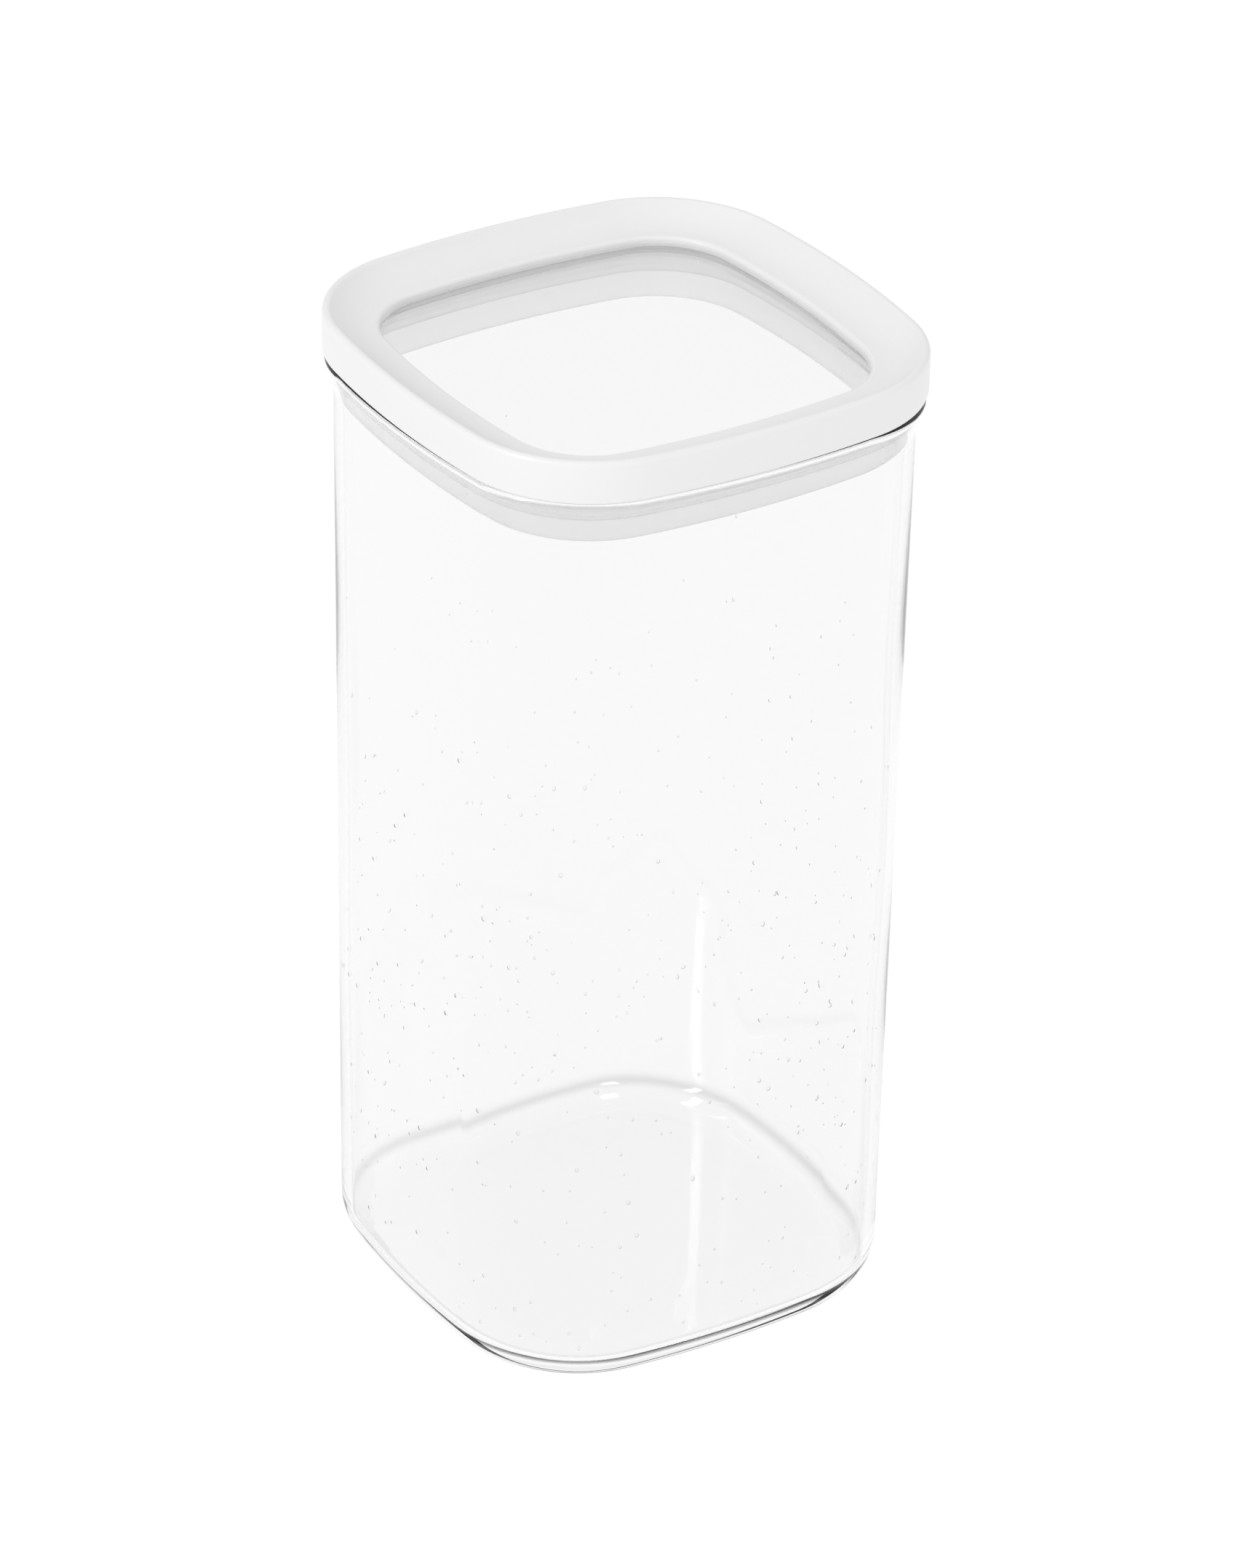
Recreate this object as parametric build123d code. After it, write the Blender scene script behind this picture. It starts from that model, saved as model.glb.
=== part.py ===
from build123d import *
import math
import os
from dataclasses import dataclass

# Square glass storage canister with a push-in lid. Millimetres, +Z up.
# The origin is the middle of the face that the canister stands on.
# Every horizontal outline is a rounded square made of eight tangent arcs:
# four shallow side arcs and four tight corner arcs.

# ---- driving dimensions: overall ----
OVERALL_HEIGHT = 225.4
LID_WIDTH = 110.0
LID_CORNER_RADIUS = 29.6
SIDE_BULGE_RADIUS = 224.0

# ---- driving dimensions: glass jar ----
BASE_INSET = 2.3
BASE_CORNER_RADIUS = 32.5
BASE_ROUNDING = 10.0
WALL_THICKNESS = 2.2
FLOOR_THICKNESS = 4.6
LIP_HEIGHT = 9.5
LIP_FLARE = 1.9
LIP_FLARE_HEIGHT = 6.6
LIP_BEAD_THICKNESS = 3.3
LIP_BEAD_DEPTH = 1.4
LIP_TOP_ROUNDING = 1.2
LIP_SHOULDER_ROUNDING = 0.5
LIP_BLEND_RADIUS = 7.0

# ---- driving dimensions: lid frame ----
RIM_HEIGHT = 9.6
RIM_WALL = 2.2
RIM_TOP_ROUNDING = 1.1
RIM_FOOT_ROUNDING = 0.9
DISH_WIDTH = 12.0
DISH_DEPTH = 4.1
DISH_SKIN = 1.9
OPENING_ROUNDING = 0.9
OPENING_STEP = 1.3
POCKET_LAND = 2.2
POCKET_WALL = 1.2

# ---- driving dimensions: window, plug and seal ----
WINDOW_THICKNESS = 2.0
WINDOW_RIM_THICKNESS = 1.2
WINDOW_EDGE_CHAMFER = 0.2
PLUG_DEPTH = 20.25
PLUG_WALL = 2.0
PLUG_PLATE = 1.3
PLUG_LEDGE = 1.2
LEDGE_GRIP = 0.9
PLUG_FOOT_ROUNDING = 0.5
PLUG_INSIDE_ROUNDING = 0.4
SEAL_GROOVE_DEPTH = 0.8
SEAL_LENGTH = 5.0
SEAL_FLANGE = 0.4
SEAL_FLANGE_SETBACK = 2.0
SEAL_CORNER_ROUNDING = 0.2
SEAL_SLEEVE = 0.9
FIN_ROOT = 0.9
FIN_ROOT_ROUNDING = 0.1
FIN_TIP_ROUNDING = 0.12
FIN_COUNT = 2

# ---- clearances ----
LIP_TO_RIM_INSET = 0.45
LIP_TO_FLANGE = 0.2
FIN_TO_GLASS = 0.3
PLUG_TO_GLASS = 1.25
SNAP_CLEARANCE = 0.1
WINDOW_CLEARANCE = 0.15

# ---- levels, worked out from the values above ----
RIM_FOOT_Z = OVERALL_HEIGHT - RIM_HEIGHT
LIP_Z = RIM_FOOT_Z - SEAL_FLANGE - LIP_TO_FLANGE
DISH_FLOOR_Z = OVERALL_HEIGHT - DISH_DEPTH
WINDOW_TOP_Z = DISH_FLOOR_Z - OPENING_STEP
WINDOW_FOOT_Z = WINDOW_TOP_Z - WINDOW_THICKNESS
LAND_FOOT_Z = WINDOW_FOOT_Z + WINDOW_RIM_THICKNESS
PLUG_FOOT_Z = OVERALL_HEIGHT - PLUG_DEPTH

# ---- distances inwards from the lid's outline, worked out from the values above ----
GLASS_INNER_INSET = LIP_TO_RIM_INSET + LIP_FLARE + WALL_THICKNESS
PLUG_OUTER_INSET = GLASS_INNER_INSET + PLUG_TO_GLASS
PLUG_INNER_INSET = PLUG_OUTER_INSET + PLUG_WALL
WINDOW_INSET = DISH_WIDTH - POCKET_LAND
FIN_TIP_INSET = GLASS_INNER_INSET + FIN_TO_GLASS


@dataclass(frozen=True)
class Outline:
    """A rounded square of eight tangent arcs, centred on the Z axis."""

    half_width: float
    corner_radius: float
    side_radius: float

    def inset(self, distance):
        """The same outline moved inwards, all its arcs keeping their centres."""
        return Outline(
            self.half_width - distance,
            self.corner_radius - distance,
            self.side_radius - distance,
        )

    def side_centre(self):
        """Distance of each side arc's centre beyond the Z axis."""
        return self.side_radius - self.half_width

    def corner_centre(self):
        """Distance of each corner arc's centre from both middle planes."""
        between_centres = self.side_radius - self.corner_radius
        beyond = self.side_centre()
        return (math.sqrt(2 * between_centres**2 - beyond**2) - beyond) / 2

    def side_angle(self):
        """Half the angle that each side arc turns through, in degrees."""
        centre = self.corner_centre()
        return math.degrees(math.atan2(centre, centre + self.side_centre()))

    def face(self, z):
        """The flat face inside the outline at one level."""
        side = self.side_angle()
        centre = self.corner_centre()
        arcs = []
        for quarter in range(4):
            turn = Rot(0, 0, 90 * quarter)
            side_arc = CenterArc((-self.side_centre(), 0), self.side_radius, -side, 2 * side)
            corner_arc = CenterArc((centre, centre), self.corner_radius, side, 90 - 2 * side)
            arcs += [turn * side_arc, turn * corner_arc]
        return Pos(0, 0, z) * Face(Wire([edge for arc in arcs for edge in arc.edges()]))


def closed_section(points, radii):
    """Face from (outwards, up) corner points, each corner rounded by its radius."""
    return Plane.XZ * make_face(FilletPolyline(*points, radius=radii, close=True).edges())


def carry_round(outline, section):
    """Solid ring left by a section, x = 0 on the outline, carried all the way round."""
    side = outline.side_angle()
    centre = outline.corner_centre()
    along_side = revolve(Pos(outline.side_radius, 0, 0) * section, Axis.Z, 2 * side)
    along_corner = revolve(Pos(outline.corner_radius, 0, 0) * section, Axis.Z, 90 - 2 * side)
    pieces = []
    for quarter in range(4):
        turn = Rot(0, 0, 90 * quarter)
        pieces.append(turn * Pos(-outline.side_centre(), 0, 0) * Rot(0, 0, -side) * along_side)
        pieces.append(turn * Pos(centre, centre, 0) * Rot(0, 0, side) * along_corner)
    return pieces[0].fuse(*pieces[1:])


def slab(outline, low_z, high_z):
    """Flat plate that fills an outline between two levels."""
    return extrude(outline.face(low_z), high_z - low_z, dir=(0, 0, 1))


LID = Outline(LID_WIDTH / 2, LID_CORNER_RADIUS, SIDE_BULGE_RADIUS)
LIP = LID.inset(LIP_TO_RIM_INSET)
WALL_TOP = LIP.inset(LIP_FLARE)
WALL_BASE = Outline(LID_WIDTH / 2 - BASE_INSET, BASE_CORNER_RADIUS, SIDE_BULGE_RADIUS)


# ---- glass jar ----
def lip_ring():
    """Flared mouth of the jar, thickened to a rounded bead."""
    inner = LIP_FLARE + WALL_THICKNESS
    points = [
        (-LIP_FLARE, LIP_Z - LIP_HEIGHT),
        (-LIP_FLARE, LIP_Z - LIP_FLARE_HEIGHT),
        (0, LIP_Z - LIP_BEAD_DEPTH),
        (0, LIP_Z),
        (-LIP_BEAD_THICKNESS, LIP_Z),
        (-LIP_BEAD_THICKNESS, LIP_Z - LIP_BEAD_DEPTH),
        (-inner, LIP_Z - LIP_FLARE_HEIGHT),
        (-inner, LIP_Z - LIP_HEIGHT),
    ]
    half = [0, LIP_BLEND_RADIUS, LIP_SHOULDER_ROUNDING, LIP_TOP_ROUNDING]
    radii = half + half[::-1]
    return carry_round(LIP, closed_section(points, radii))


def base_ring():
    """Rounded heel of the jar, between the wall and the floor."""
    inner_radius = BASE_ROUNDING - FLOOR_THICKNESS
    inner_centre = -WALL_THICKNESS - inner_radius
    slant = math.sqrt(0.5)
    heel = ThreePointArc(
        (0, BASE_ROUNDING),
        (-BASE_ROUNDING * (1 - slant), BASE_ROUNDING * (1 - slant)),
        (-BASE_ROUNDING, 0),
    )
    inside = ThreePointArc(
        (inner_centre, FLOOR_THICKNESS),
        (inner_centre + inner_radius * slant, BASE_ROUNDING - inner_radius * slant),
        (-WALL_THICKNESS, BASE_ROUNDING),
    )
    floor_edge = Polyline(
        (-BASE_ROUNDING, 0), (-BASE_ROUNDING, FLOOR_THICKNESS), (inner_centre, FLOOR_THICKNESS)
    )
    rim = Line((-WALL_THICKNESS, BASE_ROUNDING), (0, BASE_ROUNDING))
    edges = [edge for curve in (heel, floor_edge, inside, rim) for edge in curve.edges()]
    return carry_round(WALL_BASE, Plane.XZ * make_face(edges))


def glass_jar():
    """Jar: heel and floor, four near-flat sides, and the flared lip."""
    top_z = LIP_Z - LIP_HEIGHT
    outside = loft([WALL_BASE.face(BASE_ROUNDING), WALL_TOP.face(top_z)], ruled=True)
    inside = loft(
        [
            WALL_BASE.inset(WALL_THICKNESS).face(BASE_ROUNDING),
            WALL_TOP.inset(WALL_THICKNESS).face(top_z),
        ],
        ruled=True,
    )
    floor = slab(WALL_BASE.inset(BASE_ROUNDING), 0, FLOOR_THICKNESS)
    return base_ring().fuse(floor, outside - inside, lip_ring())


# ---- lid ----
def lid_frame():
    """White rim: outer wall, dished top, and the land that holds the window down."""
    dish_end = DISH_WIDTH - OPENING_ROUNDING
    span = dish_end - RIM_TOP_ROUNDING
    dish_radius = (span**2 + DISH_DEPTH**2 - 2 * DISH_DEPTH * RIM_TOP_ROUNDING) / (2 * DISH_DEPTH)
    dish_centre = Vector(-dish_end, DISH_FLOOR_Z + dish_radius)
    crest_centre = Vector(-RIM_TOP_ROUNDING, OVERALL_HEIGHT - RIM_TOP_ROUNDING)
    crest_end = dish_centre + (crest_centre - dish_centre).normalized() * dish_radius

    def on_dish(inset, skin=0):
        """Point of the dish's surface, or of the skin's underside, at an inset."""
        radius = dish_radius + skin
        drop = math.sqrt(radius**2 - (dish_end - inset) ** 2)
        return (-inset, dish_centre.Y - drop)

    pocket_outer = WINDOW_INSET - SNAP_CLEARANCE
    web_outer = pocket_outer - POCKET_WALL
    skin_middle = (RIM_WALL + web_outer) / 2
    dish_middle = (-crest_end.X + dish_end) / 2
    rounding_middle = OPENING_ROUNDING * (1 - math.sqrt(0.5))
    crest = ThreePointArc(
        (0, OVERALL_HEIGHT - RIM_TOP_ROUNDING), (-RIM_TOP_ROUNDING, OVERALL_HEIGHT), crest_end
    )
    dish = ThreePointArc(crest_end, on_dish(dish_middle), (-dish_end, DISH_FLOOR_Z))
    opening = ThreePointArc(
        (-dish_end, DISH_FLOOR_Z),
        (-DISH_WIDTH + rounding_middle, DISH_FLOOR_Z - rounding_middle),
        (-DISH_WIDTH, DISH_FLOOR_Z - OPENING_ROUNDING),
    )
    land = Polyline(
        (-DISH_WIDTH, DISH_FLOOR_Z - OPENING_ROUNDING),
        (-DISH_WIDTH, LAND_FOOT_Z),
        (-pocket_outer, LAND_FOOT_Z),
        (-pocket_outer, WINDOW_FOOT_Z),
        (-web_outer, WINDOW_FOOT_Z),
        on_dish(web_outer, DISH_SKIN),
    )
    underside = ThreePointArc(
        on_dish(web_outer, DISH_SKIN), on_dish(skin_middle, DISH_SKIN), on_dish(RIM_WALL, DISH_SKIN)
    )
    wall = FilletPolyline(
        on_dish(RIM_WALL, DISH_SKIN),
        (-RIM_WALL, RIM_FOOT_Z),
        (0, RIM_FOOT_Z),
        (0, OVERALL_HEIGHT - RIM_TOP_ROUNDING),
        radius=[0, RIM_FOOT_ROUNDING],
    )
    curves = (crest, dish, opening, land, underside, wall)
    edges = [edge for curve in curves for edge in curve.edges()]
    return carry_round(LID, Plane.XZ * make_face(edges))


def lid_window():
    """Clear pane: a thin rim held under the land, and a raised middle in the opening."""
    rim = slab(LID.inset(WINDOW_INSET), WINDOW_FOOT_Z, LAND_FOOT_Z)
    middle = slab(LID.inset(DISH_WIDTH + WINDOW_CLEARANCE), LAND_FOOT_Z, WINDOW_TOP_Z)
    top_edges = middle.edges().group_by(Axis.Z)[-1]
    return rim.fuse(chamfer(top_edges, WINDOW_EDGE_CHAMFER))


def plug_ring():
    """Ring under the frame: closing plate, window ledge and the plug wall."""
    plate_outer = RIM_WALL + SNAP_CLEARANCE
    groove = PLUG_OUTER_INSET + SEAL_GROOVE_DEPTH
    plate_top = RIM_FOOT_Z + PLUG_PLATE
    ledge_inner = WINDOW_INSET + LEDGE_GRIP
    points = [
        (-plate_outer, RIM_FOOT_Z),
        (-plate_outer, plate_top),
        (-PLUG_INNER_INSET + PLUG_WALL / 2, plate_top),
        (-PLUG_INNER_INSET + PLUG_WALL / 2, WINDOW_FOOT_Z),
        (-ledge_inner, WINDOW_FOOT_Z),
        (-ledge_inner, WINDOW_FOOT_Z - PLUG_LEDGE),
        (-PLUG_INNER_INSET, WINDOW_FOOT_Z - PLUG_LEDGE),
        (-PLUG_INNER_INSET, PLUG_FOOT_Z),
        (-PLUG_OUTER_INSET, PLUG_FOOT_Z),
        (-PLUG_OUTER_INSET, RIM_FOOT_Z - SEAL_LENGTH),
        (-groove, RIM_FOOT_Z - SEAL_LENGTH),
        (-groove, RIM_FOOT_Z),
    ]
    foot = PLUG_FOOT_ROUNDING
    radii = [0, 0, 0, 0, 0, 0, PLUG_INSIDE_ROUNDING, foot, foot, 0, 0, 0]
    return carry_round(LID, closed_section(points, radii))


def seal_ring():
    """Silicone seal: a sleeve in the plug's groove, a flange over the lip and fins."""
    groove = PLUG_OUTER_INSET + SEAL_GROOVE_DEPTH
    sleeve = groove - SEAL_SLEEVE
    foot_z = RIM_FOOT_Z - SEAL_LENGTH
    flange_z = RIM_FOOT_Z - SEAL_FLANGE
    points = [(-groove, foot_z), (-groove, RIM_FOOT_Z), (-SEAL_FLANGE_SETBACK, RIM_FOOT_Z)]
    points += [(-SEAL_FLANGE_SETBACK, flange_z), (-sleeve, flange_z)]
    radii = [0, 0, 0, SEAL_CORNER_ROUNDING, SEAL_CORNER_ROUNDING]
    pitch = (flange_z - foot_z - FIN_ROOT) / FIN_COUNT
    for fin in range(FIN_COUNT):
        root_z = flange_z - FIN_ROOT - fin * pitch - (pitch - FIN_ROOT) / 2
        points += [(-sleeve, root_z), (-FIN_TIP_INSET, root_z - FIN_ROOT / 3)]
        points += [(-FIN_TIP_INSET, root_z - FIN_ROOT * 2 / 3), (-sleeve, root_z - FIN_ROOT)]
        radii += [FIN_ROOT_ROUNDING, FIN_TIP_ROUNDING, FIN_TIP_ROUNDING, FIN_ROOT_ROUNDING]
    points.append((-sleeve, foot_z))
    radii.append(SEAL_CORNER_ROUNDING)
    return carry_round(LID, closed_section(points, radii))


PARTS = {
    "glass_jar": glass_jar,
    "lid_frame": lid_frame,
    "lid_window": lid_window,
    "plug_ring": plug_ring,
    "seal_ring": seal_ring,
}

os.makedirs("parts", exist_ok=True)
for name, make in PARTS.items():
    export_step(make(), f"parts/{name}.step")
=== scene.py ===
"""Looks of a square glass storage canister: glass jar, dished white lid, clear window, plug and seal.

Everything is in metres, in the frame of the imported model: +Z up, the origin in the middle of the
face that the jar stands on. Levels and overall widths come from the frame; wall thicknesses,
roundings and other small sizes are fields of the class that builds the piece.
"""
import logging
import math
from dataclasses import dataclass, field, replace
from enum import Enum
from typing import Any, Callable, Sequence

import bmesh
import bpy
from mathutils import Matrix, Vector


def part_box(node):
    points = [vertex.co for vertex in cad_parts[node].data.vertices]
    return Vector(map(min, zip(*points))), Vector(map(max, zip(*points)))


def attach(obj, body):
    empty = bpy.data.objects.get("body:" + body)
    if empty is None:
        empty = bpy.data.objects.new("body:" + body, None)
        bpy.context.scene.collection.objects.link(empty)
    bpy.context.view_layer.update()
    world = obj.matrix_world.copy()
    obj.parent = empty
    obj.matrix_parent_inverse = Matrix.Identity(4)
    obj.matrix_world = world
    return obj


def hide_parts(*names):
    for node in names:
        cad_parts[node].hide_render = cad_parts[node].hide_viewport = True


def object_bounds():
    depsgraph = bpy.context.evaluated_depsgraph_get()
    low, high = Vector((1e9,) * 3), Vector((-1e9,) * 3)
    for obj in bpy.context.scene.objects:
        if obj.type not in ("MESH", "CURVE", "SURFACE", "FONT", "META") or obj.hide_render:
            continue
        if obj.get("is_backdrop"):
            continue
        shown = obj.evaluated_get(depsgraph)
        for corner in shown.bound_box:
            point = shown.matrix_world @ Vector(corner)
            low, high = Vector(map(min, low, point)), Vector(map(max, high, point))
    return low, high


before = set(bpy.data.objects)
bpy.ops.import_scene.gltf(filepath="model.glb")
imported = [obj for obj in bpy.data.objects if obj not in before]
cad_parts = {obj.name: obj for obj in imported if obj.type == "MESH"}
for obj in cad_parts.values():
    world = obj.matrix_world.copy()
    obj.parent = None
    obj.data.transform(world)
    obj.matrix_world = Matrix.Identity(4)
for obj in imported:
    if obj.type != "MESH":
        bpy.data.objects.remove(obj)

log = logging.getLogger("canister")
MM = 0.001
LID_CORNER_RADIUS = 29.6 * MM
SIDE_BULGE_RADIUS = 224.0 * MM
BASE_INSET = 2.3 * MM
BASE_CORNER_RADIUS = 32.5 * MM
LID_CREASE = 32.0
JAR_CREASE = 60.0
Point2 = tuple[float, float]


class Body(Enum):
    """The two rigid bodies of the canister."""

    JAR = "jar"
    LID = "lid"


class Slot(Enum):
    """The record's material slots."""

    GLASS = "jar_glass"
    FRAME = "frame_plastic"
    WINDOW = "window_plastic"
    PLUG = "plug_plastic"
    SEAL = "seal_silicone"


# ---- Node trees ----
def operator(operation: str) -> tuple[Callable[..., "Term"], Callable[..., "Term"]]:
    """Python operator that adds a Math node.

    Args:
        operation: Blender's name of the operation.

    Returns:
        The method for Term-and-value, and the one for value-and-Term.
    """

    def forward(self: "Term", other: Any) -> "Term":
        """Term first."""
        return self.graph.term("ShaderNodeMath", {"operation": operation}, {0: self, 1: other})

    def backward(self: "Term", other: Any) -> "Term":
        """Term last."""
        return self.graph.term("ShaderNodeMath", {"operation": operation}, {0: other, 1: self})

    return forward, backward


class Term:
    """One number in a node tree. Python's operators on it add Math nodes."""

    def __init__(self, graph: "Graph", socket: bpy.types.NodeSocket) -> None:
        """Wrap a socket.

        Args:
            graph: The tree that the socket belongs to.
            socket: The output that carries the number.
        """
        self.graph = graph
        self.socket = socket

    __add__, __radd__ = operator("ADD")
    __sub__, __rsub__ = operator("SUBTRACT")
    __mul__, __rmul__ = operator("MULTIPLY")
    __truediv__, __rtruediv__ = operator("DIVIDE")
    __pow__, __rpow__ = operator("POWER")

    def ramp(self, low: float, high: float) -> "Term":
        """Smooth step from 0 at low to 1 at high.

        Args:
            low: The value that gives 0.
            high: The value that gives 1.

        Returns:
            The smoothed share as a Term.
        """
        settings = {"interpolation_type": "SMOOTHSTEP"}
        inputs = {"Value": self, "From Min": low, "From Max": high}
        return self.graph.term("ShaderNodeMapRange", settings, inputs)


class Graph:
    """A node tree that is filled through one method."""

    def __init__(self, tree: bpy.types.NodeTree) -> None:
        """Wrap a tree and empty it.

        Args:
            tree: A material's, world's or Geometry Nodes tree.
        """
        self.tree = tree
        tree.nodes.clear()

    def node(
        self, kind: str, settings: dict[str, Any] | None = None, inputs: dict[Any, Any] | None = None
    ) -> bpy.types.Node:
        """Add a node.

        Args:
            kind: Blender's type name of the node.
            settings: Properties, set before the inputs.
            inputs: Values or links by socket name, or by place among the enabled sockets.

        Returns:
            The new node.
        """
        node = self.tree.nodes.new(kind)
        for name, value in (settings or {}).items():
            setattr(node, name, value)
        enabled = [socket for socket in node.inputs if socket.enabled]
        for key, value in (inputs or {}).items():
            socket = enabled[key] if isinstance(key, int) else next(s for s in enabled if s.name == key)
            if isinstance(value, Term):
                self.tree.links.new(value.socket, socket)
            elif isinstance(value, bpy.types.NodeSocket):
                self.tree.links.new(value, socket)
            else:
                socket.default_value = value
        return node

    def term(
        self, kind: str, settings: dict[str, Any] | None = None, inputs: dict[Any, Any] | None = None
    ) -> Term:
        """Add a node and return its first enabled output as a Term.

        Args:
            kind: Blender's type name of the node.
            settings: Properties, set before the inputs.
            inputs: Values or links of its sockets.

        Returns:
            The output as a Term.
        """
        node = self.node(kind, settings, inputs)
        return Term(self, next(socket for socket in node.outputs if socket.enabled))

    def noise(self, place: bpy.types.NodeSocket, size: float, detail: float = 2.0, seed: float = 0.0) -> Term:
        """Smooth noise between 0 and 1.

        Args:
            place: The coordinates to read.
            size: Distance between features, in metres.
            detail: Octaves of finer noise.
            seed: The fourth coordinate, which picks the pattern.

        Returns:
            The noise as a Term.
        """
        inputs = {"Vector": place, "W": seed, "Scale": 1.0 / size, "Detail": detail}
        return self.term("ShaderNodeTexNoise", {"noise_dimensions": "4D"}, inputs)


def grey(tone: float) -> tuple[float, float, float, float]:
    """An opaque neutral colour."""
    return (tone, tone, tone, 1.0)


def clamped(value: float) -> float:
    """A value held between 0 and 1."""
    return min(1.0, max(0.0, value))


def stretched(graph: Graph, scale: Sequence[float]) -> bpy.types.NodeSocket:
    """Object coordinates, stretched along the axes.

    Args:
        graph: The material's tree.
        scale: Factors on X, Y and Z.

    Returns:
        The vector output.
    """
    place = graph.node("ShaderNodeTexCoord").outputs["Object"]
    return graph.node("ShaderNodeMapping", None, {"Vector": place, "Scale": scale}).outputs[0]


# ---- Finishes ----
@dataclass(frozen=True)
class Finish:
    """What every finish has: a name and a Principled surface."""

    name: str

    def material(self, dress: Callable[[Graph, bpy.types.Node], bpy.types.Node | None]) -> bpy.types.Material:
        """Make the material and let a finish fill it.

        Args:
            dress: Fills the tree and sets the Principled node's sockets; may return a later node.

        Returns:
            The new material.
        """
        material = bpy.data.materials.new(self.name)
        material.use_nodes = True
        graph = Graph(material.node_tree)
        surface = graph.node("ShaderNodeBsdfPrincipled")
        last = dress(graph, surface) or surface
        graph.node("ShaderNodeOutputMaterial", None, {"Surface": last.outputs[0]})
        return material


@dataclass(frozen=True)
class ClearFinish(Finish):
    """Clear glass or clear plastic, gently rippled by how it was formed, with painted shade along the jar's
    inner heel.
    """

    tint: float
    ior: float
    ripple_size: float
    ripple_depth: float
    upright_stretch: float
    # How much the painted shade line darkens the glass colour along the inner heel.
    heel_shade_depth: float
    foot_tint: float
    seed: float
    haze_range: tuple[float, float] = (0.55, 0.9)
    haze_roughness: float = 0.02

    def build(self) -> bpy.types.Material:
        """Make the material."""
        return self.material(self.dress)

    def dress(self, graph: Graph, surface: bpy.types.Node) -> bpy.types.Node:
        """Set the clear surface's sockets.

        Args:
            graph: The material's tree.
            surface: The Principled node.

        Returns:
            The glass mixed with the foot, where light from the table passes straight in.
        """
        place = stretched(graph, (1.0, 1.0, 1.0 / self.upright_stretch))
        ripple = graph.noise(place, self.ripple_size, 1.0, self.seed)
        bump = {"Height": ripple, "Distance": self.ripple_depth, "Strength": 1.0}
        normal = graph.node("ShaderNodeBump", None, bump)
        graph.tree.links.new(normal.outputs[0], surface.inputs["Normal"])
        haze = graph.noise(place, self.ripple_size * 0.5, 3.0, self.seed + 5.0).ramp(*self.haze_range)
        graph.tree.links.new((haze * self.haze_roughness).socket, surface.inputs["Roughness"])
        # Painted shade: the glass colour darkens along a line on the jar's inner heel, read from a mesh
        # attribute.
        bend = graph.term("ShaderNodeAttribute", {"attribute_name": "painted_heel_shade"})
        bend.socket = bend.socket.node.outputs["Fac"]
        tone = self.tint - bend * self.heel_shade_depth
        colour = graph.node("ShaderNodeCombineColor", None, {0: tone, 1: tone, 2: tone})
        graph.tree.links.new(colour.outputs[0], surface.inputs["Base Color"])
        surface.inputs["Transmission Weight"].default_value = 1.0
        surface.inputs["IOR"].default_value = self.ior
        foot = graph.term("ShaderNodeAttribute", {"attribute_name": "foot_light"})
        foot.socket = foot.socket.node.outputs["Fac"]
        through = graph.node("ShaderNodeBsdfTransparent", None, {"Color": grey(self.foot_tint)})
        inputs = {0: foot, 1: surface.outputs[0], 2: through.outputs[0]}
        return graph.node("ShaderNodeMixShader", None, inputs)


@dataclass(frozen=True)
class MouldedFinish(Finish):
    """Opaque or milky moulded plastic or rubber with a fine satin skin, and an optional painted glow that
    stands in for light reaching it.
    """

    shade: float
    shade_spread: float
    roughness: float
    roughness_spread: float
    grain_size: float
    grain_depth: float
    seed: float
    flow_size: float = 28 * MM
    cover: float = 1.0
    edge_cover: float = 0.0
    edge_power: float = 3.0
    # Painted light: emission that makes the part glow as if lit through the glass.
    painted_glow: float = 0.0

    def build(self) -> bpy.types.Material:
        """Make the material."""
        return self.material(self.dress)

    def dress(self, graph: Graph, surface: bpy.types.Node) -> None:
        """Set the moulded surface's sockets.

        Args:
            graph: The material's tree.
            surface: The Principled node.
        """
        place = graph.node("ShaderNodeTexCoord").outputs["Object"]
        flow = graph.noise(place, self.flow_size, 2.0, self.seed)
        grain = graph.noise(place, self.grain_size, 2.0, self.seed + 3.0)
        shade = self.shade + (flow - 0.5) * self.shade_spread
        colour = graph.node("ShaderNodeCombineColor", None, {0: shade, 1: shade, 2: shade})
        graph.tree.links.new(colour.outputs[0], surface.inputs["Base Color"])
        polish = self.roughness + (grain - 0.5) * self.roughness_spread
        graph.tree.links.new(polish.socket, surface.inputs["Roughness"])
        bump = {"Height": grain, "Distance": self.grain_depth, "Strength": 1.0}
        normal = graph.node("ShaderNodeBump", None, bump)
        graph.tree.links.new(normal.outputs[0], surface.inputs["Normal"])
        if self.cover < 1.0:
            facing = graph.node("ShaderNodeLayerWeight", None, {"Blend": 0.5}).outputs["Facing"]
            cover = self.cover + Term(graph, facing) ** self.edge_power * self.edge_cover
            graph.tree.links.new(cover.socket, surface.inputs["Alpha"])
        # Painted light: a constant white glow in place of light that the glass keeps from reaching the part.
        surface.inputs["Emission Color"].default_value = grey(1.0)
        surface.inputs["Emission Strength"].default_value = self.painted_glow


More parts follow.
